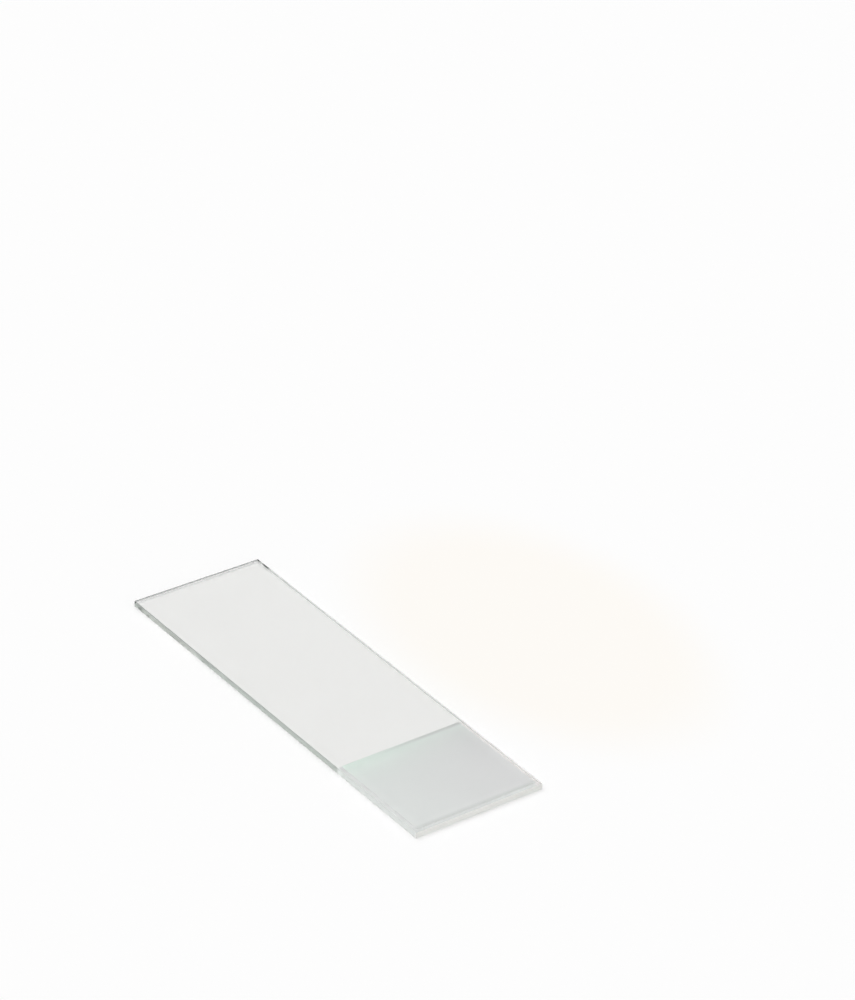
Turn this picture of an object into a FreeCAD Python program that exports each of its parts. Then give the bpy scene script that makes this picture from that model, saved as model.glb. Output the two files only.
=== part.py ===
import FreeCAD, Part

import os

# A microscope slide: one piece of clear glass, cut from sheet, with a matt panel for writing at one end.
# Millimetres. +X runs along the slide to its matt end, +Y across it and +Z up.
# The origin is the centre of the underside.

# The blank.
SLIDE_LENGTH = 75.0
SLIDE_WIDTH = 25.0
SLIDE_THICKNESS = 1.0

# The cut. A wheel scores the top face and the sheet is snapped along the score, so each side is a snapped
# face with the wheel's crushed band above it, and the edges and corners stay sharp.
SCORE_HEIGHT = 0.12
SCORE_SET_BACK = 0.03

# The matt panel, blasted a little way into the top face. A border of clear glass is left round it on three
# sides, and on the fourth it meets the clear part of the slide.
PANEL_REACH = 20.0
PANEL_BORDER = 0.8
PANEL_DEPTH = 0.02
PANEL_CORNER_RADIUS = 0.3

# Two shells that flaked off one long side, just under its top edge, when the slide was snapped: one at the
# corner, and one a little further along. The bite is how deep a shell is, and the lip is the glass left above.
CORNER_SHELL_REACH = 0.9
CORNER_SHELL_BITE = 0.2
SECOND_SHELL_LENGTH = 2.1
SECOND_SHELL_BITE = 0.22
SHELL_SPACING = 0.3
SHELL_HEIGHT = 0.6
SHELL_LIP = 0.03


def cut_section(span, sideways, onward):
    """The section that two facing cut sides give the slide, upright on the sideways axis and centred on the
    origin: square below, and leaning in over the scored band."""
    half = span / 2
    outline = [
        (-half, 0),
        (half, 0),
        (half, SLIDE_THICKNESS - SCORE_HEIGHT),
        (half - SCORE_SET_BACK, SLIDE_THICKNESS),
        (SCORE_SET_BACK - half, SLIDE_THICKNESS),
        (-half, SLIDE_THICKNESS - SCORE_HEIGHT),
    ]
    points = [sideways * across + FreeCAD.Vector(0, 0, height) for across, height in outline]
    face = Part.Face(Part.makePolygon(points + points[:1]))
    face.translate(onward / -2)
    return face.extrude(onward)


def cut_blank():
    """The plain slide, where the section across it and the section along it cross."""
    lengthwise = FreeCAD.Vector(1, 0, 0)
    crosswise = FreeCAD.Vector(0, 1, 0)
    across = cut_section(SLIDE_WIDTH, crosswise, lengthwise * SLIDE_LENGTH)
    along = cut_section(SLIDE_LENGTH, lengthwise, crosswise * SLIDE_WIDTH)
    return across.common(along)


def matt_panel():
    """What blasting takes away: a shallow pocket with rounded corners."""
    length = PANEL_REACH - PANEL_BORDER
    width = SLIDE_WIDTH - 2 * PANEL_BORDER
    start = FreeCAD.Vector(SLIDE_LENGTH / 2 - PANEL_REACH, -width / 2, SLIDE_THICKNESS - PANEL_DEPTH)
    pocket = Part.makeBox(length, width, 2 * PANEL_DEPTH, start)
    upright = [edge for edge in pocket.Edges if abs(edge.tangentAt(edge.FirstParameter).z) > 0.5]
    return pocket.makeFillet(PANEL_CORNER_RADIUS, upright)


def arc_radius(half_chord, bite):
    """The radius of an arc from its half chord and its height."""
    return (half_chord**2 + bite**2) / (2 * bite)


def shell(along, half_length, bite):
    """A flake's bed, centred some way along the long side from its plain corner. It is part of a ring that
    lies level and stands off from the side, and its outer face cuts in by the bite."""
    ring = arc_radius(half_length, bite)
    tube = arc_radius(SHELL_HEIGHT / 2, bite)
    middle = FreeCAD.Vector(
        along - SLIDE_LENGTH / 2,
        SLIDE_WIDTH / 2 + ring - bite,
        SLIDE_THICKNESS - SHELL_LIP - SHELL_HEIGHT / 2,
    )
    return Part.makeTorus(ring - tube, tube, middle)


def glass_slide():
    """The slide as it is used."""
    corner_shell = shell(0, CORNER_SHELL_REACH, CORNER_SHELL_BITE)
    second_half = SECOND_SHELL_LENGTH / 2
    second_shell = shell(CORNER_SHELL_REACH + SHELL_SPACING + second_half, second_half, SECOND_SHELL_BITE)
    return cut_blank().cut([matt_panel(), corner_shell, second_shell])


os.makedirs("parts", exist_ok=True)
glass_slide().exportStep("parts/glass_slide.step")
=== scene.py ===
import math
from types import SimpleNamespace

import bpy
from mathutils import Euler, Matrix, Vector


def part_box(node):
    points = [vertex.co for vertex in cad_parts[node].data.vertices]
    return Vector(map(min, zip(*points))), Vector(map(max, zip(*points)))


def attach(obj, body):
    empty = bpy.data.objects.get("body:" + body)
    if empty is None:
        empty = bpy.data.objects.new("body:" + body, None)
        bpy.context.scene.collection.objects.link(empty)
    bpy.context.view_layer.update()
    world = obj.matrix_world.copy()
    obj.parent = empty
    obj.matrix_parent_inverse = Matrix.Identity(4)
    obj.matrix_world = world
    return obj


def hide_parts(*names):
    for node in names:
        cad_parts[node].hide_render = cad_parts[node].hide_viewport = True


bl_info = {
    "name": "Microscope Slide",
    "version": (1, 0, 0),
    "blender": (4, 5, 0),
    "location": "3D View > Sidebar > Slide",
    "description": "A cut glass slide with a frosted end, and the studio that it lies in",
    "category": "Object",
}

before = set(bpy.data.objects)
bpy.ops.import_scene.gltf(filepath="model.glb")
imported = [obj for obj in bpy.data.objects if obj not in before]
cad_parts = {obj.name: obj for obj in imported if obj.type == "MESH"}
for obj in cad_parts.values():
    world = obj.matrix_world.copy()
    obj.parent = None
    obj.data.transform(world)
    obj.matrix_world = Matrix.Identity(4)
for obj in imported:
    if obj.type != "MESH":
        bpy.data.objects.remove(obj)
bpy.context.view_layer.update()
slide_low, slide_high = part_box("glass_slide")
slide_size = slide_high - slide_low

MM = 0.001


# ---------------------------------------------------------------------------------------------------------
# Sizes, colours and stage values that a user would change
# ---------------------------------------------------------------------------------------------------------


def length_property(name, description, default):
    """A distance in metres."""
    return bpy.props.FloatProperty(
        name=name, description=description, default=default, min=0, precision=5, unit="LENGTH"
    )


def share_property(name, description, default):
    """A plain share from none to all."""
    return bpy.props.FloatProperty(
        name=name, description=description, default=default, min=0, max=1, subtype="FACTOR"
    )


def colour_property(name, description, default):
    """A linear colour."""
    return bpy.props.FloatVectorProperty(
        name=name, description=description, default=default, min=0, max=1, size=3, subtype="COLOR"
    )


def angle_property(name, description, degrees):
    """An angle, kept in radians."""
    return bpy.props.FloatProperty(
        name=name, description=description, default=math.radians(degrees), unit="ROTATION"
    )


class SlideSizes(bpy.types.PropertyGroup):
    """The sizes of the slide's details. Its length, width and thickness come from the frame."""

    score_height: length_property(
        "Score height", "How far the cutting wheel's band reaches down each side", 0.12 * MM
    )
    score_set_back: length_property(
        "Score set-back", "How far the band leans in at the top face", 0.03 * MM
    )
    panel_reach: length_property(
        "Panel reach", "From the frosted end to the frosted panel's inner line", 20 * MM
    )
    panel_border: length_property(
        "Panel border", "Clear glass round the panel on its three outer sides", 0.8 * MM
    )
    panel_depth: length_property("Panel depth", "How deep the panel is blasted", 0.02 * MM)
    panel_corner: length_property("Panel corner radius", "Radius of the panel's corners", 0.3 * MM)
    corner_shell_reach: length_property(
        "Corner shell reach", "How far the flake at the corner runs along the long edge", 0.9 * MM
    )
    corner_shell_bite: length_property(
        "Corner shell bite", "How far the flake at the corner reaches in from the edge", 0.2 * MM
    )
    second_shell_length: length_property(
        "Second shell length", "How long the flake beside it is along the long edge", 2.1 * MM
    )
    second_shell_bite: length_property(
        "Second shell bite", "How far the flake beside it reaches in from the edge", 0.22 * MM
    )
    shell_spacing: length_property(
        "Shell spacing", "Whole edge left between the two flakes", 0.3 * MM
    )
    shell_height: length_property("Shell height", "How tall the flakes are, down the side", 0.6 * MM)
    shell_lip: length_property("Shell lip", "Glass left above the flakes", 0.03 * MM)
    tooth_spacing: length_property(
        "Tooth spacing", "Usual distance between the teeth that the wheel leaves", 0.35 * MM
    )
    tooth_depth: length_property("Tooth depth", "How far the teeth are nicked in", 0.003 * MM)
    ripple_length: length_property(
        "Ripple length", "Usual length of the long ripples on a snapped side", 4 * MM
    )
    ripple_depth: length_property("Ripple depth", "How deep the long ripples are", 0.003 * MM)
    cuts: bpy.props.IntProperty(
        name="Cuts along a side", description="Mesh divisions of each side", default=599, min=1
    )
    rows: bpy.props.IntProperty(
        name="Rows up a side", description="Mesh rows between the two faces", default=12, min=3
    )


class GlassFinish(bpy.types.PropertyGroup):
    """How the glass looks."""

    tint: colour_property(
        "Glass tint", "Colour that a long way through the glass gives", (0.7, 0.94, 0.78)
    )
    tint_density: bpy.props.FloatProperty(
        name="Tint density", description="How fast the tint builds up, per metre", default=4, min=0
    )
    clear_tint: colour_property("Clear tint", "Colour of the clear faces", (0.785, 0.785, 0.772))
    # Painted light: the top face is paler along the plain end, to lift the shade that falls under the glass
    # there.
    end_rim_light_share: share_property(
        "End rim share", "How much paler the top face is along the plain end", 0.7
    )
    end_rim_light_width: length_property("End rim width", "How far in from that end it is paler", 1 * MM)
    band_tint: colour_property("Band tint", "Colour of the cutting wheel's band", (0.4, 0.42, 0.4))
    # The plain end's darker line is painted shade, given by the dark coat on the upper part of that end
    # face.
    crushed_height: length_property(
        "Crushed height", "How far down from the top face the plain end's darker line reaches", 0.7 * MM
    )
    crushed_share: share_property("Crushed share", "How much of the dark tint that line has", 0.65)
    # The dark tint is painted shade, on the flakes' beds and along the plain end's top edge.
    shade_coat_tint: colour_property(
        "Dark tint", "Tint of the coat on the flakes' beds and on that line", (0.2, 0.21, 0.2)
    )
    side_roughness: share_property(
        "Side roughness", "Roughness of the snapped sides, apart from the flakes", 0.3
    )
    hackle_roughness: share_property(
        "Hackle roughness", "Extra roughness of a side's upper part, below the band", 0.2
    )
    hackle_height: length_property(
        "Hackle height", "How far down from the top face that roughness reaches", 0.6 * MM
    )
    # The side tint is partly the glass's own green, seen the long way through, and partly painted shade.
    side_tint: colour_property(
        "Side tint", "Colour of the snapped sides where they are clear", (0.34, 0.37, 0.34)
    )
    # The plain side tint is painted light that makes the long sides paler near the plain end.
    plain_side_light_tint: colour_property(
        "Plain side tint", "Colour of the long sides near the plain end", (0.88, 0.89, 0.83)
    )
    plain_side_light_reach: length_property(
        "Plain side reach", "From the plain end to where that colour is gone", 20 * MM
    )
    # The frosted end tint is painted warm light from the surroundings, on the end face.
    frosted_end_warm_light_tint: colour_property(
        "Frosted end tint", "Colour of the side at the frosted end", (0.93, 0.895, 0.86)
    )
    # The frosted side tint is painted light, which the frosting scatters into the glass and out of the
    # sides.
    frosted_side_light_tint: colour_property(
        "Frosted side tint", "Colour of the long sides beside the frosted panel", (0.79, 0.815, 0.805)
    )
    # Painted shade: the flakes' beds are near black, and their upper part also gets the dark coat.
    flake_shade_tint: colour_property("Flake tint", "Colour of the flakes' beds", (0.01, 0.01, 0.01))
    flake_shade_height: length_property(
        "Flake dark height", "How far down from the top face the flakes' beds are dark", 0.45 * MM
    )
    frost_tint: colour_property("Frost tint", "Colour of the frosted panel", (0.479, 0.463, 0.484))
    # The two border tints are painted shade: the clear glass round the panel is darkened as if shade lay
    # under it, less on the right.
    border_shade_tint: colour_property(
        "Border tint", "Colour of the clear glass round the panel", (0.53, 0.555, 0.545)
    )
    right_border_shade_tint: colour_property(
        "Right border tint", "Colour of that glass on the right", (0.67, 0.63, 0.62)
    )
    # The frost line tint is painted shade along the panel's outline at its two ends.
    frost_line_shade_tint: colour_property(
        "Frost line tint", "Colour of the panel's outline along its two ends", (0.39, 0.41, 0.4)
    )
    frost_line_shade_width: length_property(
        "Frost line width", "How far that colour fades into the panel", 0.9 * MM
    )
    # The glow is painted light: green light that the glass pipes to the panel's inner line, fading across
    # the slide.
    glow_tint: colour_property(
        "Glow tint", "Greener colour of the frosted panel along its inner line", (0.744, 1, 0.849)
    )
    glow_reach: length_property(
        "Glow reach", "How far it takes that colour to fade to about a third", 2.4 * MM
    )
    glow_rest: share_property("Glow rest", "How much of that colour is left far from the line", 0.17)
    glow_loss: share_property("Glow loss", "How much of that colour is lost across the slide", 0.62)
    # The rim is painted light: the panel is paler along its outline.
    panel_rim_light_share: share_property("Rim share", "How much paler the panel is along its outline", 0.07)
    panel_rim_light_reach: length_property("Rim reach", "How far in from the outline it is paler", 2 * MM)
    frost_roughness: share_property("Frost roughness", "Roughness of the frosted panel", 0.5)
    grain_size: length_property("Frost grain", "Size of the frosting's grains", 0.09 * MM)


class StageLook(bpy.types.PropertyGroup):
    """The floor, the light and the camera."""

    floor_colour: colour_property("Floor colour", "Colour of most of the floor", (1, 1, 1))
    # The cream colour is painted light: a pool of warmer light on the floor beside the slide.
    warm_light_colour: colour_property("Cream colour", "Colour of the creamier patch", (1, 0.974, 0.932))
    warm_light_middle: bpy.props.FloatVectorProperty(
        name="Cream middle",
        description="Middle of the creamier patch on the floor",
        default=(2 * MM, 40 * MM, 0),
        size=3,
        precision=5,
        subtype="TRANSLATION",
    )
    warm_light_reach: bpy.props.FloatVectorProperty(
        name="Cream reach",
        description="Half sizes of the creamier patch",
        default=(45 * MM, 31 * MM, 1),
        size=3,
        precision=5,
        subtype="TRANSLATION",
    )
    low_strength: bpy.props.FloatProperty(
        name="Low light", description="Brightness of the surroundings low down", default=0.35, min=0
    )
    overhead_strength: bpy.props.FloatProperty(
        name="Overhead light", description="Brightness of the surroundings overhead", default=0.98, min=0
    )
    dim_elevation: angle_property("Dim elevation", "Height up to which the surroundings are dim", 33)
    bright_elevation: angle_property("Bright elevation", "Height from which they are bright", 55)
    key_strength: bpy.props.FloatProperty(
        name="Key strength", description="Brightness that the soft box adds", default=1.35, min=0
    )
    key_azimuth: angle_property("Key azimuth", "Direction of the soft box, from +X towards +Y", -155)
    key_elevation: angle_property("Key elevation", "Height of the soft box", 66)
    key_spread: angle_property("Key spread", "Angle from the soft box's middle to its faded edge", 40)
    camera_distance: length_property(
        "Camera distance", "From the camera to the point that it looks at", 738.647 * MM
    )
    camera_azimuth: angle_property(
        "Camera azimuth", "Turn about the slide, from looking along +Y towards -X", 48.849
    )
    camera_elevation: angle_property("Camera elevation", "Height above the floor", 31.389)
    camera_roll: angle_property("Camera roll", "Tilt of the camera about its own axis", 5.753)
    camera_target: bpy.props.FloatVectorProperty(
        name="Camera target",
        description="Point on the floor that the camera looks at",
        default=(-39.137 * MM, 49.964 * MM, 0),
        size=3,
        precision=5,
        subtype="TRANSLATION",
    )
    camera_lens: bpy.props.FloatProperty(
        name="Camera lens", description="Focal length on a 36 mm sensor, in mm", default=154.626, min=1
    )


# ---------------------------------------------------------------------------------------------------------
# Node helpers
# ---------------------------------------------------------------------------------------------------------


def place(tree, kind, values=None, **settings):
    """Adds a node. Its settings are attributes, and its values go to sockets, as links or plain values."""
    node = tree.nodes.new(kind)
    for name, setting in settings.items():
        setattr(node, name, setting)
    for key, value in (values or {}).items():
        if isinstance(value, bpy.types.NodeSocket):
            tree.links.new(value, node.inputs[key])
        else:
            node.inputs[key].default_value = value
    return node


def maths(tree, operation, *values, clamp=False):
    """One sum on numbers."""
    node = place(tree, "ShaderNodeMath", dict(enumerate(values)), operation=operation, use_clamp=clamp)
    return node.outputs[0]


def squared(tree, value):
    """A number times itself."""
    return maths(tree, "MULTIPLY", value, value)


def rest_of(tree, share):
    """What a share leaves of the whole."""
    return maths(tree, "SUBTRACT", 1.0, share)


def vector_maths(tree, operation, *values):
    """One sum on vectors."""
    return place(tree, "ShaderNodeVectorMath", dict(enumerate(values)), operation=operation).outputs[0]


def combined(tree, x, y, z):
    """A vector of three values."""
    return place(tree, "ShaderNodeCombineXYZ", {"X": x, "Y": y, "Z": z}).outputs[0]


def fade(tree, value, start, end):
    """0 before start, 1 after end, and smooth between them."""
    span = {"Value": value, "From Min": start, "From Max": end}
    return place(tree, "ShaderNodeMapRange", span, interpolation_type="SMOOTHSTEP").outputs[0]


def colour_mix(tree, share, first, second):
    """Two colours mixed by a share of the second. Each is a socket or three plain values."""
    node = place(tree, "ShaderNodeMix", data_type="RGBA")
    sockets = {socket.name: socket for socket in node.inputs if socket.enabled}
    tree.links.new(share, sockets["Factor"])
    for name, colour in (("A", first), ("B", second)):
        if isinstance(colour, bpy.types.NodeSocket):
            tree.links.new(colour, sockets[name])
        else:
            sockets[name].default_value = (*colour, 1)
    return next(socket for socket in node.outputs if socket.enabled)


def new_tree(name, kind, sockets):
    """A tree with named sockets, with what its inputs give and what its outputs take."""
    tree = bpy.data.node_groups.new(name, kind)
    for label, direction, socket in sockets:
        tree.interface.new_socket(label, in_out=direction, socket_type=socket)
    return tree, place(tree, "NodeGroupInput").outputs, place(tree, "NodeGroupOutput").inputs


# ---------------------------------------------------------------------------------------------------------
# The slide's shape
# ---------------------------------------------------------------------------------------------------------

SLIDE_INPUTS = (
    "Length", "Width", "Thickness",
    "Score Height", "Score Set-back",
    "Panel Reach", "Panel Border", "Panel Depth", "Panel Corner",
    "Corner Shell Reach", "Corner Shell Bite", "Second Shell Length", "Second Shell Bite", "Shell Spacing",
    "Shell Height", "Shell Lip",
    "Tooth Spacing", "Tooth Depth", "Ripple Length", "Ripple Depth",
)  # fmt: skip

# The noise is stretched this much up a side, so teeth are tall and ripples are long. The power leaves only
# a few teeth.
TOOTH_SEED = 3.7
TOOTH_STRETCH = 6.0
TOOTH_SHARPNESS = 3.0
RIPPLE_SEED = 11.2
RIPPLE_STRETCH = 0.5

# How strongly the mesh rows of a side crowd towards its top edge.
ROW_CROWDING = 2.2
PANEL_CORNER_STEPS = 8
WELD = 1e-3 * MM

# The flakes' beds are marked on the mesh, for the material. The mark fades in over this depth of the bed.
FLAKE_MARK = "flake"
FLAKE_FADE = 0.02 * MM


def arc_radius(tree, half_chord, bite):
    """The radius of an arc from its half chord and its height."""
    total = maths(tree, "MULTIPLY_ADD", bite, bite, squared(tree, half_chord))
    return maths(tree, "DIVIDE", total, maths(tree, "MULTIPLY", bite, 2.0))


def shell_set_back(tree, along, depth, half_length, bite, values):
    """How far a flake takes the side in at a depth below the top face. Its bed is part of a ring that lies
    level and stands off from the side."""
    half_height = maths(tree, "MULTIPLY", values["Shell Height"], 0.5)
    ring = arc_radius(tree, half_length, bite)
    tube = arc_radius(tree, half_height, bite)
    middle = maths(tree, "ADD", values["Shell Lip"], half_height)
    below = maths(tree, "SUBTRACT", depth, middle)
    inside = maths(tree, "SUBTRACT", squared(tree, tube), squared(tree, below))
    swell = maths(tree, "SQRT", maths(tree, "MAXIMUM", inside, 0.0))
    reach = maths(tree, "ADD", maths(tree, "SUBTRACT", ring, tube), swell)
    left = maths(tree, "SUBTRACT", squared(tree, reach), squared(tree, along))
    reach = maths(tree, "SQRT", maths(tree, "MAXIMUM", left, 0.0))
    stand_off = maths(tree, "SUBTRACT", ring, bite)
    return maths(tree, "MAXIMUM", maths(tree, "SUBTRACT", reach, stand_off), 0.0)


def roughened(tree, position, spacing, stretch, seed):
    """A value from 0 to 1 that wanders along a side, with a usual length, and is stretched up the side."""
    x, y, z = place(tree, "ShaderNodeSeparateXYZ", {"Vector": position}).outputs
    drawn = combined(tree, x, y, maths(tree, "DIVIDE", z, stretch))
    scale = maths(tree, "DIVIDE", 1.0, spacing)
    noise = place(
        tree, "ShaderNodeTexNoise", {"Vector": drawn, "W": seed, "Scale": scale, "Detail": 2.0},
        noise_dimensions="4D", normalize=True,
    )  # fmt: skip
    return noise.outputs[0]


def square_sides(tree, values):
    """The four sides of the uncut block: the outline divided finely, and swept up the thickness."""
    size = {"Width": values["Length"], "Height": values["Width"]}
    outline = place(tree, "GeometryNodeCurvePrimitiveQuadrilateral", size).outputs[0]
    cuts = {"Curve": outline, "Cuts": values["Cuts"]}
    outline = place(tree, "GeometryNodeSubdivideCurve", cuts).outputs[0]
    upright = place(tree, "GeometryNodeCurvePrimitiveLine").outputs[0]
    rows = {"Curve": upright, "Count": values["Rows"]}
    upright = place(tree, "GeometryNodeResampleCurve", rows).outputs[0]
    share_down = place(tree, "GeometryNodeSplineParameter").outputs["Factor"]
    depth = maths(tree, "MULTIPLY", maths(tree, "POWER", share_down, ROW_CROWDING), values["Thickness"])
    row = combined(tree, 0.0, maths(tree, "SUBTRACT", depth, values["Thickness"]), 0.0)
    upright = place(tree, "GeometryNodeSetPosition", {"Geometry": upright, "Position": row}).outputs[0]
    return place(tree, "GeometryNodeCurveToMesh", {"Curve": outline, "Profile Curve": upright}).outputs[0]


def snapped_set_back(tree, values, position, depth):
    """How far the scored band, its teeth and the long ripples take a side in."""
    in_band = maths(tree, "SUBTRACT", 1.0, maths(tree, "DIVIDE", depth, values["Score Height"]), clamp=True)
    teeth = roughened(tree, position, values["Tooth Spacing"], TOOTH_STRETCH, TOOTH_SEED)
    teeth = maths(tree, "MULTIPLY", maths(tree, "POWER", teeth, TOOTH_SHARPNESS), in_band)
    ripples = roughened(tree, position, values["Ripple Length"], RIPPLE_STRETCH, RIPPLE_SEED)
    inward = maths(tree, "MULTIPLY", in_band, values["Score Set-back"])
    inward = maths(tree, "MULTIPLY_ADD", teeth, values["Tooth Depth"], inward)
    return maths(tree, "MULTIPLY_ADD", ripples, values["Ripple Depth"], inward)


def flaked_set_back(tree, values, from_corner, depth):
    """How far the two flakes take a side in, at a distance along it from the plain end."""
    corner_shell = shell_set_back(
        tree, from_corner, depth, values["Corner Shell Reach"], values["Corner Shell Bite"], values
    )
    second_half = maths(tree, "MULTIPLY", values["Second Shell Length"], 0.5)
    second_middle = maths(tree, "ADD", values["Corner Shell Reach"], values["Shell Spacing"])
    second_middle = maths(tree, "ADD", second_middle, second_half)
    from_second = maths(tree, "SUBTRACT", from_corner, second_middle)
    second_shell = shell_set_back(
        tree, from_second, depth, second_half, values["Second Shell Bite"], values
    )
    return maths(tree, "MAXIMUM", corner_shell, second_shell)


def held(tree, value, half, set_back):
    """A place kept within half a span that is taken in by a set-back."""
    limit = maths(tree, "SUBTRACT", half, set_back)
    value = maths(tree, "MINIMUM", value, limit)
    return maths(tree, "MAXIMUM", value, maths(tree, "MULTIPLY", limit, -1.0))


def cut_sides(tree, values):
    """The four sides as they were snapped, with the two flakes off the right-hand one."""
    position = place(tree, "GeometryNodeInputPosition").outputs[0]
    x, y, z = place(tree, "ShaderNodeSeparateXYZ", {"Vector": position}).outputs
    depth = maths(tree, "SUBTRACT", values["Thickness"], z)
    half_length = maths(tree, "MULTIPLY", values["Length"], 0.5)
    half_width = maths(tree, "MULTIPLY", values["Width"], 0.5)
    snapped = snapped_set_back(tree, values, position, depth)
    flaked = flaked_set_back(tree, values, maths(tree, "ADD", x, half_length), depth)
    flaked = maths(tree, "MULTIPLY", flaked, maths(tree, "GREATER_THAN", y, 0.0))
    taken_in = combined(
        tree,
        held(tree, x, half_length, snapped),
        held(tree, y, half_width, maths(tree, "MAXIMUM", snapped, flaked)),
        z,
    )
    in_flake = maths(tree, "DIVIDE", maths(tree, "SUBTRACT", flaked, snapped), FLAKE_FADE, clamp=True)
    flaked_side = maths(tree, "GREATER_THAN", y, maths(tree, "SUBTRACT", half_width, flaked))
    in_flake = maths(tree, "MULTIPLY", in_flake, flaked_side)
    marked = place(
        tree, "GeometryNodeStoreNamedAttribute",
        {"Geometry": square_sides(tree, values), "Name": FLAKE_MARK, "Value": in_flake},
        data_type="FLOAT", domain="CORNER",
    ).outputs[0]  # fmt: skip
    return place(tree, "GeometryNodeSetPosition", {"Geometry": marked, "Position": taken_in}).outputs[0]


def rim_curve(tree, sides, height):
    """The sides' own edge at a height, as a closed curve."""
    position = place(tree, "GeometryNodeInputPosition").outputs[0]
    z = place(tree, "ShaderNodeSeparateXYZ", {"Vector": position}).outputs["Z"]
    at_height = maths(tree, "COMPARE", z, height, WELD)
    return place(tree, "GeometryNodeMeshToCurve", {"Mesh": sides, "Selection": at_height}).outputs[0]


def joined(tree, pieces):
    """Several curves or meshes as one geometry."""
    node = place(tree, "GeometryNodeJoinGeometry")
    for piece in pieces:
        tree.links.new(piece, node.inputs[0])
    return node.outputs[0]


def moved(tree, geometry, x, z):
    """A geometry moved along and up."""
    shift = combined(tree, x, 0.0, z)
    return place(tree, "GeometryNodeTransform", {"Geometry": geometry, "Translation": shift}).outputs[0]


def sheet_of(tree, curves, height):
    """A flat sheet inside closed curves, with what lies within an inner one left out."""
    flat = place(tree, "GeometryNodeFillCurve", {"Curve": joined(tree, curves)}).outputs[0]
    return moved(tree, flat, 0.0, height)


def panel_outline(tree, values):
    """The frosted panel's rounded outline, on the plane of the underside."""
    reach = maths(tree, "SUBTRACT", values["Panel Reach"], values["Panel Border"])
    twice_border = maths(tree, "MULTIPLY", values["Panel Border"], 2.0)
    across = maths(tree, "SUBTRACT", values["Width"], twice_border)
    size = {"Width": reach, "Height": across}
    outline = place(tree, "GeometryNodeCurvePrimitiveQuadrilateral", size).outputs[0]
    outline = place(
        tree, "GeometryNodeFilletCurve",
        {
            "Curve": outline, "Radius": values["Panel Corner"],
            "Count": PANEL_CORNER_STEPS, "Limit Radius": True,
        },
        mode="POLY",
    ).outputs[0]  # fmt: skip
    spare = maths(tree, "ADD", values["Panel Reach"], values["Panel Border"])
    middle = maths(tree, "MULTIPLY", maths(tree, "SUBTRACT", values["Length"], spare), 0.5)
    return moved(tree, outline, middle, 0.0)


def panel_step(tree, values, outline):
    """The small upright step round the frosted panel."""
    down = combined(tree, 0.0, values["Panel Depth"], 0.0)
    step = place(tree, "GeometryNodeCurvePrimitiveLine", {"Start": down, "End": (0, 0, 0)}).outputs[0]
    step = place(tree, "GeometryNodeCurveToMesh", {"Curve": outline, "Profile Curve": step}).outputs[0]
    return moved(tree, step, 0.0, values["Thickness"])


def slide_tree():
    """The whole slide as a Geometry Nodes tree."""
    sockets = [("Geometry", "INPUT", "NodeSocketGeometry")]
    sockets += [(label, "INPUT", "NodeSocketFloat") for label in SLIDE_INPUTS]
    sockets += [("Cuts", "INPUT", "NodeSocketInt"), ("Rows", "INPUT", "NodeSocketInt")]
    sockets += [("Material", "INPUT", "NodeSocketMaterial"), ("Geometry", "OUTPUT", "NodeSocketGeometry")]
    tree, values, results = new_tree("Cut Glass Slide", "GeometryNodeTree", sockets)

    sides = cut_sides(tree, values)
    outline = panel_outline(tree, values)
    top = sheet_of(tree, [rim_curve(tree, sides, values["Thickness"]), outline], values["Thickness"])
    underside = sheet_of(tree, [rim_curve(tree, sides, 0.0)], 0.0)
    underside = place(tree, "GeometryNodeFlipFaces", {"Mesh": underside}).outputs[0]
    panel_height = maths(tree, "SUBTRACT", values["Thickness"], values["Panel Depth"])
    panel = sheet_of(tree, [outline], panel_height)
    step = panel_step(tree, values, outline)
    sides = place(tree, "GeometryNodeSetShadeSmooth", {"Geometry": sides, "Shade Smooth": True}).outputs[0]

    slide = joined(tree, (sides, top, underside, panel, step))
    slide = place(tree, "GeometryNodeMergeByDistance", {"Geometry": slide, "Distance": WELD}).outputs[0]
    slide = place(tree, "GeometryNodeRealizeInstances", {"Geometry": slide}).outputs[0]
    dressing = {"Geometry": slide, "Material": values["Material"]}
    slide = place(tree, "GeometryNodeSetMaterial", dressing).outputs[0]
    tree.links.new(slide, results["Geometry"])
    return tree


def grown(name, tree, values):
    """A plain mesh object from a tree whose inputs are given by name."""
    holder = bpy.data.objects.new(name + "_grower", bpy.data.meshes.new(name + "_grower"))
    bpy.context.scene.collection.objects.link(holder)
    modifier = holder.modifiers.new(name, "NODES")
    modifier.node_group = tree
    for item in tree.interface.items_tree:
        if item.item_type == "SOCKET" and item.in_out == "INPUT" and item.name in values:
            modifier[item.identifier] = values[item.name]
    holder.update_tag()
    bpy.context.view_layer.update()
    depsgraph = bpy.context.evaluated_depsgraph_get()
    mesh = bpy.data.meshes.new_from_object(holder.evaluated_get(depsgraph))
    mesh.name = name
    while mesh.materials and mesh.materials[0] is None:
        mesh.materials.pop(index=0)
    bpy.data.objects.remove(holder)
    piece = bpy.data.objects.new(name, mesh)
    bpy.context.scene.collection.objects.link(piece)
    return piece


# ---------------------------------------------------------------------------------------------------------
# The glass
# ---------------------------------------------------------------------------------------------------------

WHITE = (1, 1, 1)
GLASS_IOR = 1.52

# A coat with the index of air tints what it covers and has no gloss of its own.
COAT_IOR = 1.0

# What lies within this many panel depths of the top counts as the top face, with the panel's floor.
TOP_SKIN = 3

# A face at either end is told by its place, and a side by how far its normal is from upright.
END_SKIN = 0.2 * MM
SIDE_LIMIT = 0.7

# The frosting's edge wanders by this depth, in lumps of this size, and blurs over this distance each way.
RAGGED_DEPTH = 0.06 * MM
RAGGED_SIZE = 0.15 * MM
RAGGED_BLUR = 0.04 * MM

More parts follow.
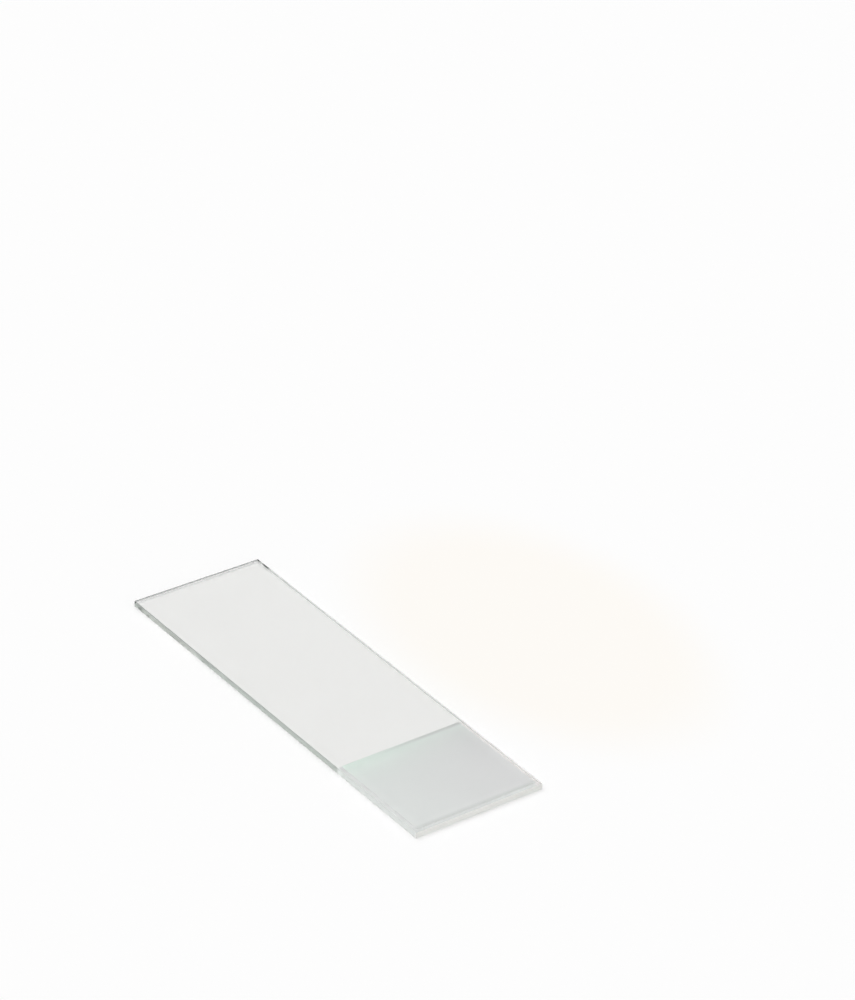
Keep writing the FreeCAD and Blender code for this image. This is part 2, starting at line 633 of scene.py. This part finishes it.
# The frosted end starts this far before the panel's inner line, and has its full colour this far past it.
FROSTED_END_START = 0.3 * MM
FROSTED_END_FULL = 0.5 * MM

# The panel's dark outline, painted shade, reaches this far out, and has its full colour this near to the
# panel's outer end and to its inner line.
OUTLINE_WIDTH = 0.25 * MM
OUTER_LINE_CORE = 0.1 * MM
INNER_LINE_CORE = 0.2 * MM

# The plain side tint, which is painted light, is full between these two shares of its reach.
PLAIN_SIDE_LIGHT_START = 0.25
PLAIN_SIDE_LIGHT_END = 0.7

# The frosting's grains, and the roughness that they and the wheel's band add.
GRAIN_HEIGHT = 0.02 * MM
GRAIN_STRENGTH = 0.25
GRAIN_ROUGHNESS = 0.15
BAND_ROUGHNESS = 0.2


def panel_distance_group():
    """Distance to the frosted panel's outline as it is seen from above, less than 0 inside it."""
    sockets = [
        ("Vector", "INPUT", "NodeSocketVector"),
        ("Middle", "INPUT", "NodeSocketVector"),
        ("Half Size", "INPUT", "NodeSocketVector"),
        ("Corner", "INPUT", "NodeSocketFloat"),
        ("Distance", "OUTPUT", "NodeSocketFloat"),
    ]
    tree, values, results = new_tree("Panel Distance", "ShaderNodeTree", sockets)
    offset = vector_maths(tree, "SUBTRACT", values["Vector"], values["Middle"])
    past = vector_maths(tree, "SUBTRACT", vector_maths(tree, "ABSOLUTE", offset), values["Half Size"])
    x, y, _ = place(tree, "ShaderNodeSeparateXYZ", {"Vector": past}).outputs
    x = maths(tree, "ADD", x, values["Corner"])
    y = maths(tree, "ADD", y, values["Corner"])
    outer_x = maths(tree, "MAXIMUM", x, 0.0)
    outer_y = maths(tree, "MAXIMUM", y, 0.0)
    outer = maths(tree, "SQRT", maths(tree, "ADD", squared(tree, outer_x), squared(tree, outer_y)))
    inner = maths(tree, "MINIMUM", maths(tree, "MAXIMUM", x, y), 0.0)
    distance = maths(tree, "ADD", outer, inner)
    tree.links.new(maths(tree, "SUBTRACT", distance, values["Corner"]), results["Distance"])
    return tree


def glass_zones(tree, sizes, finish):
    """Where a point of the surface is, and which zones it is in, as shares from 0 to 1."""
    zones = SimpleNamespace()
    position = place(tree, "ShaderNodeTexCoord").outputs["Object"]
    zones.x, zones.y, z = place(tree, "ShaderNodeSeparateXYZ", {"Vector": position}).outputs
    zones.across = fade(tree, zones.y, slide_low.y, slide_high.y)
    zones.panel_start = slide_high.x - sizes.panel_reach
    zones.panel_end = slide_high.x - sizes.panel_border
    zones.panel_side = slide_high.y - sizes.panel_border

    panel = {
        "Vector": position,
        "Middle": ((zones.panel_start + zones.panel_end) / 2, 0, 0),
        "Half Size": ((zones.panel_end - zones.panel_start) / 2, zones.panel_side, 0),
        "Corner": sizes.panel_corner,
    }
    panel = place(tree, "ShaderNodeGroup", panel, node_tree=panel_distance_group())
    zones.distance = panel.outputs["Distance"]
    lumps = {"Vector": position, "Scale": 1 / RAGGED_SIZE, "Detail": 2.0}
    lumps = place(tree, "ShaderNodeTexNoise", lumps).outputs[0]
    ragged = maths(
        tree, "MULTIPLY_ADD", maths(tree, "SUBTRACT", lumps, 0.5), RAGGED_DEPTH, zones.distance
    )
    inside = rest_of(tree, fade(tree, ragged, -RAGGED_BLUR, RAGGED_BLUR))
    zones.on_top = maths(tree, "GREATER_THAN", z, slide_high.z - TOP_SKIN * sizes.panel_depth)
    zones.frost = maths(tree, "MULTIPLY", inside, zones.on_top)
    grain = {"Vector": position, "Scale": 1 / finish.grain_size, "Detail": 3.0}
    zones.grain = place(tree, "ShaderNodeTexNoise", grain).outputs[0]

    geometry = place(tree, "ShaderNodeNewGeometry").outputs
    upright = place(tree, "ShaderNodeSeparateXYZ", {"Vector": geometry["True Normal"]}).outputs["Z"]
    zones.from_inside = geometry["Backfacing"]
    zones.on_side = maths(tree, "LESS_THAN", maths(tree, "ABSOLUTE", upright), SIDE_LIMIT)
    zones.at_plain_end = maths(tree, "LESS_THAN", zones.x, slide_low.x + END_SKIN)
    zones.at_frosted_end = maths(tree, "GREATER_THAN", zones.x, slide_high.x - END_SKIN)
    zones.in_frosted_end = fade(
        tree, zones.x, zones.panel_start - FROSTED_END_START, zones.panel_start + FROSTED_END_FULL
    )

    def reaching_down(height, full):
        """1 from the top face down to the full height, and 0 from the whole height on."""
        return fade(tree, z, slide_high.z - height, slide_high.z - full)

    zones.in_band = reaching_down(1.2 * sizes.score_height, 0.8 * sizes.score_height)
    hackled = reaching_down(finish.hackle_height, finish.hackle_height / 2)
    hackled = maths(tree, "MULTIPLY", hackled, rest_of(tree, zones.at_plain_end))
    zones.hackled = maths(tree, "MULTIPLY", hackled, rest_of(tree, zones.in_frosted_end))
    # Painted shade: a darker line down from the top of the plain end face.
    crushed = reaching_down(finish.crushed_height, finish.crushed_height / 2)
    crushed = maths(tree, "MULTIPLY", crushed, maths(tree, "MULTIPLY", zones.at_plain_end, zones.on_side))
    zones.crushed = maths(tree, "MULTIPLY", crushed, finish.crushed_share)
    zones.flake = place(tree, "ShaderNodeAttribute", attribute_name=FLAKE_MARK).outputs["Fac"]
    # Painted shade on the flakes' upper beds, given by the dark coat.
    dark = reaching_down(finish.flake_shade_height, finish.flake_shade_height * 2 / 3)
    zones.dark_flake = maths(tree, "MULTIPLY", zones.flake, dark)
    return zones


def clear_colour(tree, zones, sizes, finish):
    """The clear faces: painted light that makes the top paler along the plain end, and painted shade that
    makes them darker round the panel.
    """
    # Painted light along the plain end: a paler strip of the top face lifts the shade under the glass.
    lift_limit = slide_low.x + finish.end_rim_light_width
    past_rim = fade(tree, zones.x, slide_low.x + finish.end_rim_light_width / 2, lift_limit)
    painted_lift = maths(tree, "MULTIPLY_ADD", past_rim, -finish.end_rim_light_share, finish.end_rim_light_share)
    colour = colour_mix(tree, painted_lift, finish.clear_tint, WHITE)
    # Painted shade: the clear glass round the panel is darkened, less so on the right.
    at_right = fade(tree, zones.y, zones.panel_side - sizes.panel_border, zones.panel_side)
    border_shade_colour = colour_mix(tree, at_right, finish.border_shade_tint, finish.right_border_shade_tint)
    border = maths(tree, "MULTIPLY", zones.in_frosted_end, zones.on_top)
    return colour_mix(tree, border, colour, border_shade_colour)


def panel_colour(tree, zones, finish):
    """The frosted panel: a painted green glow of light piped through the glass towards its inner line, most
    of all on the left, and painted light that makes it paler at its rim.
    """
    # Painted green glow near the panel's inner line.
    line_distance = maths(tree, "SUBTRACT", zones.panel_start, zones.x)
    line_distance = maths(tree, "DIVIDE", line_distance, finish.glow_reach)
    glow = maths(tree, "EXPONENT", maths(tree, "MINIMUM", line_distance, 0.0))
    glow = maths(tree, "MULTIPLY_ADD", glow, 1 - finish.glow_rest, finish.glow_rest)
    kept = maths(tree, "MULTIPLY_ADD", zones.across, -finish.glow_loss, 1.0)
    glow = maths(tree, "MULTIPLY", glow, kept)
    colour = colour_mix(tree, glow, finish.frost_tint, finish.glow_tint)
    # Painted light along the panel's outline.
    rim = fade(tree, zones.distance, -finish.panel_rim_light_reach, 0.0)
    rim = maths(tree, "MULTIPLY", rim, finish.panel_rim_light_share)
    return colour_mix(tree, rim, colour, WHITE)


def outline_shade_share(tree, zones, finish):
    """Where painted shade darkens the panel's outline: along its outer end, and along its inner line towards
    the right.
    """
    near_outline = rest_of(tree, fade(tree, zones.distance, 0.0, OUTLINE_WIDTH))
    near_end = fade(
        tree, zones.x, zones.panel_end - finish.frost_line_shade_width, zones.panel_end - OUTER_LINE_CORE
    )
    outer = maths(tree, "MULTIPLY", maths(tree, "MULTIPLY", near_outline, near_end), zones.on_top)
    past_line = fade(
        tree, zones.x, zones.panel_start + INNER_LINE_CORE, zones.panel_start + finish.frost_line_shade_width
    )
    on_right = maths(tree, "MULTIPLY", zones.across, zones.frost)
    inner = maths(tree, "MULTIPLY", rest_of(tree, past_line), on_right)
    return maths(tree, "MAXIMUM", outer, inner)


def side_colour(tree, zones, finish):
    """The snapped sides, from the plain end to the frosted one: dark green with painted shade, painted light
    near the plain end and beside the panel, and painted warm light on the frosted end.
    """
    reach = finish.plain_side_light_reach
    rising = fade(tree, zones.x, slide_low.x, slide_low.x + reach * PLAIN_SIDE_LIGHT_START)
    falling = fade(tree, zones.x, slide_low.x + reach * PLAIN_SIDE_LIGHT_END, slide_low.x + reach)
    lit_near_plain_end = maths(tree, "MULTIPLY", rising, rest_of(tree, falling))
    # Painted light lifts the sides near the plain end.
    colour = colour_mix(tree, lit_near_plain_end, finish.side_tint, finish.plain_side_light_tint)
    colour = colour_mix(tree, zones.in_band, colour, finish.band_tint)
    # Painted light on the sides beside the frosted panel.
    colour = colour_mix(tree, zones.in_frosted_end, colour, finish.frosted_side_light_tint)
    # Painted warm light on the frosted end.
    return colour_mix(tree, zones.at_frosted_end, colour, finish.frosted_end_warm_light_tint)


def surface_roughness(tree, zones, finish):
    """Polished, apart from the frosted panel and the snapped sides. The flakes' beds are polished too."""
    grain = maths(tree, "SUBTRACT", zones.grain, 0.5)
    panel = maths(tree, "MULTIPLY_ADD", grain, GRAIN_ROUGHNESS, finish.frost_roughness)
    side = maths(tree, "MULTIPLY_ADD", zones.in_band, BAND_ROUGHNESS, finish.side_roughness)
    side = maths(tree, "MULTIPLY_ADD", zones.hackled, finish.hackle_roughness, side)
    side = maths(tree, "MULTIPLY", side, rest_of(tree, zones.flake))
    roughness = maths(tree, "MULTIPLY", panel, zones.frost)
    return maths(tree, "MULTIPLY_ADD", zones.on_side, side, roughness)


def glass_material(sizes, finish):
    """Clear soda-lime glass with a frosted panel on its top face and snapped sides. Its faces' tints colour
    only the light that comes in, apart from the flakes' own, and many are painted light and shade. A coat
    gives the dark marks, painted shade, which are lit from inside."""
    material = bpy.data.materials.new("clear_glass_frosted_end")
    material.use_nodes = True
    tree = material.node_tree
    tree.nodes.clear()

    zones = glass_zones(tree, sizes, finish)
    colour = clear_colour(tree, zones, sizes, finish)
    colour = colour_mix(tree, zones.frost, colour, panel_colour(tree, zones, finish))
    # Painted shade along the panel's outline.
    colour = colour_mix(tree, outline_shade_share(tree, zones, finish), colour, finish.frost_line_shade_tint)
    colour = colour_mix(tree, zones.on_side, colour, side_colour(tree, zones, finish))
    colour = colour_mix(tree, zones.from_inside, colour, WHITE)
    # Painted shade: the flakes' beds are near black.
    colour = colour_mix(tree, zones.flake, colour, finish.flake_shade_tint)

    grains = maths(tree, "MULTIPLY", zones.grain, zones.frost)
    bump = {"Strength": GRAIN_STRENGTH, "Distance": GRAIN_HEIGHT, "Height": grains}
    glass = {
        "Base Color": colour,
        "Roughness": surface_roughness(tree, zones, finish),
        "IOR": GLASS_IOR,
        "Transmission Weight": 1.0,
        "Normal": place(tree, "ShaderNodeBump", bump).outputs[0],
        # The coat paints shade on the plain end's top line and on the flakes' beds.
        "Coat Weight": maths(tree, "MAXIMUM", zones.crushed, zones.dark_flake),
        "Coat IOR": COAT_IOR,
        "Coat Tint": (*finish.shade_coat_tint, 1),
    }
    absorption = {"Color": (*finish.tint, 1), "Density": finish.tint_density}
    output = {
        "Surface": place(tree, "ShaderNodeBsdfPrincipled", glass).outputs[0],
        "Volume": place(tree, "ShaderNodeVolumeAbsorption", absorption).outputs[0],
    }
    place(tree, "ShaderNodeOutputMaterial", output)
    return material


# ---------------------------------------------------------------------------------------------------------
# The stage
# ---------------------------------------------------------------------------------------------------------

AIR_GAP = 0.03 * MM
FLOOR_HALF = 3.0

# The painted pool of warmer light on the floor and the soft box are even out to these shares of their reach,
# and fade beyond them.
WARM_LIGHT_CORE = 0.55
KEY_CORE = 1 / 3

# Light leaves the sides and the flakes only after many reflections inside the glass.
LIGHT_BOUNCES = 64


def floor_material(look):
    """White, with a painted pool of warmer, creamier light on one side of the slide."""
    material = bpy.data.materials.new("pale_floor")
    material.use_nodes = True
    tree = material.node_tree
    position = place(tree, "ShaderNodeTexCoord").outputs["Object"]
    offset = vector_maths(tree, "SUBTRACT", position, look.warm_light_middle)
    offset = vector_maths(tree, "DIVIDE", offset, look.warm_light_reach)
    away = place(tree, "ShaderNodeVectorMath", {0: offset}, operation="LENGTH").outputs["Value"]
    whiter = fade(tree, away, WARM_LIGHT_CORE, 1.0)
    shader = tree.nodes["Principled BSDF"]
    colour = colour_mix(tree, whiter, look.warm_light_colour, look.floor_colour)
    tree.links.new(colour, shader.inputs["Base Color"])
    shader.inputs["Roughness"].default_value = 1.0
    shader.inputs["Specular IOR Level"].default_value = 0.0
    return material


def floor_piece(look):
    """A wide floor, a hair below the slide, since two rigid faces touch at a few points only."""
    mesh = bpy.data.meshes.new("floor")
    sides = (-FLOOR_HALF, FLOOR_HALF)
    height = slide_low.z - AIR_GAP
    corners = [(sides[i], sides[j], height) for i, j in ((0, 0), (1, 0), (1, 1), (0, 1))]
    mesh.from_pydata(corners, [], [(0, 1, 2, 3)])
    mesh.materials.append(floor_material(look))
    floor = bpy.data.objects.new("floor", mesh)
    bpy.context.scene.collection.objects.link(floor)


def seen_directly(tree):
    """1 for what the camera sees, also mirrored or through glass, and 0 for light on a matt face."""
    path = place(tree, "ShaderNodeLightPath").outputs
    by_glass = maths(tree, "MAXIMUM", path["Is Glossy Ray"], path["Is Transmission Ray"])
    unscattered = maths(tree, "LESS_THAN", path["Diffuse Depth"], 0.5)
    by_glass = maths(tree, "MULTIPLY", by_glass, unscattered)
    return maths(tree, "MAXIMUM", by_glass, path["Is Camera Ray"])


def surroundings(look):
    """Soft light from all round, dimmer low down, with a broad bright patch where the soft box is. What the
    camera sees of it is plain white."""
    world = bpy.data.worlds.new("studio")
    world.use_nodes = True
    tree = world.node_tree
    direction = place(tree, "ShaderNodeTexCoord").outputs["Generated"]
    height = place(tree, "ShaderNodeSeparateXYZ", {"Vector": direction}).outputs["Z"]
    high = fade(tree, height, math.sin(look.dim_elevation), math.sin(look.bright_elevation))
    fill = maths(tree, "MULTIPLY_ADD", high, look.overhead_strength - look.low_strength, look.low_strength)
    key = Euler((0, -look.key_elevation, look.key_azimuth)).to_matrix() @ Vector((1, 0, 0))
    near_key = place(tree, "ShaderNodeVectorMath", {0: direction, 1: key}, operation="DOT_PRODUCT")
    near_key = near_key.outputs["Value"]
    lit = fade(tree, near_key, math.cos(look.key_spread), math.cos(look.key_spread * KEY_CORE))
    strength = maths(tree, "MULTIPLY_ADD", lit, look.key_strength, fill)
    seen = seen_directly(tree)
    strength = maths(tree, "MULTIPLY_ADD", strength, rest_of(tree, seen), seen)
    background = tree.nodes["Background"]
    background.inputs["Color"].default_value = (*WHITE, 1)
    tree.links.new(strength, background.inputs["Strength"])
    scene = bpy.context.scene
    scene.world = world
    scene.cycles.blur_glossy = 0
    scene.cycles.max_bounces = LIGHT_BOUNCES
    scene.cycles.glossy_bounces = LIGHT_BOUNCES
    scene.cycles.transmission_bounces = LIGHT_BOUNCES


def camera(look):
    """The camera, aimed at a point on the floor and rolled about its own axis."""
    data = bpy.data.cameras.new("camera")
    data.lens = look.camera_lens
    data.sensor_width = 36
    data.clip_start = 0.01
    data.clip_end = 20
    eye = bpy.data.objects.new("camera", data)
    bpy.context.scene.collection.objects.link(eye)
    turn = Euler((math.pi / 2 - look.camera_elevation, 0, look.camera_azimuth)).to_matrix()
    turn = turn @ Matrix.Rotation(look.camera_roll, 3, "Z")
    eye.location = Vector(look.camera_target) + turn @ Vector((0, 0, look.camera_distance))
    eye.rotation_euler = turn.to_euler()
    bpy.context.scene.camera = eye


# ---------------------------------------------------------------------------------------------------------
# Operators and panel
# ---------------------------------------------------------------------------------------------------------


class SLIDE_OT_stage(bpy.types.Operator):
    """Makes the floor, the light and the camera"""

    bl_idname = "slide.stage"
    bl_label = "Make Stage"

    def execute(self, context):
        look = context.scene.slide_stage
        floor_piece(look)
        surroundings(look)
        camera(look)
        context.scene.view_settings.view_transform = "Standard"
        return {"FINISHED"}


class SLIDE_OT_glass(bpy.types.Operator):
    """Makes the glass slide, with its snapped sides, flaked corner and frosted panel"""

    bl_idname = "slide.glass"
    bl_label = "Make Glass Slide"

    def execute(self, context):
        sizes = context.scene.slide_sizes
        finish = context.scene.slide_finish
        values = {
            "Length": slide_size.x, "Width": slide_size.y, "Thickness": slide_size.z,
            "Score Height": sizes.score_height, "Score Set-back": sizes.score_set_back,
            "Panel Reach": sizes.panel_reach, "Panel Border": sizes.panel_border,
            "Panel Depth": sizes.panel_depth, "Panel Corner": sizes.panel_corner,
            "Corner Shell Reach": sizes.corner_shell_reach, "Corner Shell Bite": sizes.corner_shell_bite,
            "Second Shell Length": sizes.second_shell_length, "Second Shell Bite": sizes.second_shell_bite,
            "Shell Spacing": sizes.shell_spacing,
            "Shell Height": sizes.shell_height, "Shell Lip": sizes.shell_lip,
            "Tooth Spacing": sizes.tooth_spacing, "Tooth Depth": sizes.tooth_depth,
            "Ripple Length": sizes.ripple_length, "Ripple Depth": sizes.ripple_depth,
            "Cuts": sizes.cuts, "Rows": sizes.rows,
            "Material": glass_material(sizes, finish),
        }  # fmt: skip
        slide = grown("cut_glass_slide", slide_tree(), values)
        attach(slide, "root")
        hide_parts("glass_slide")
        return {"FINISHED"}


class SLIDE_PT_panel(bpy.types.Panel):
    """Lists what makes the slide and its stage"""

    bl_idname = "SLIDE_PT_panel"
    bl_label = "Microscope Slide"
    bl_space_type = "VIEW_3D"
    bl_region_type = "UI"
    bl_category = "Slide"

    def draw(self, context):
        for settings, operator in (
            ((context.scene.slide_sizes, context.scene.slide_finish), SLIDE_OT_glass),
            ((context.scene.slide_stage,), SLIDE_OT_stage),
        ):
            box = self.layout.box()
            for group in settings:
                for name in group.__annotations__:
                    box.prop(group, name)
            box.operator(operator.bl_idname)


CLASSES = (SlideSizes, GlassFinish, StageLook, SLIDE_OT_stage, SLIDE_OT_glass, SLIDE_PT_panel)
SETTINGS = {"slide_sizes": SlideSizes, "slide_finish": GlassFinish, "slide_stage": StageLook}


def register():
    """Registers the classes, and gives the scene their settings."""
    for cls in CLASSES:
        bpy.utils.register_class(cls)
    for name, group in SETTINGS.items():
        setattr(bpy.types.Scene, name, bpy.props.PointerProperty(type=group))


def unregister():
    """Takes away what register adds."""
    for name in SETTINGS:
        delattr(bpy.types.Scene, name)
    for cls in reversed(CLASSES):
        bpy.utils.unregister_class(cls)


def main():
    """Makes the slide and its stage, and keeps the frame's box and the finished model's."""
    register()
    bpy.ops.slide.glass()
    bpy.ops.slide.stage()


if __name__ == "__main__":
    main()
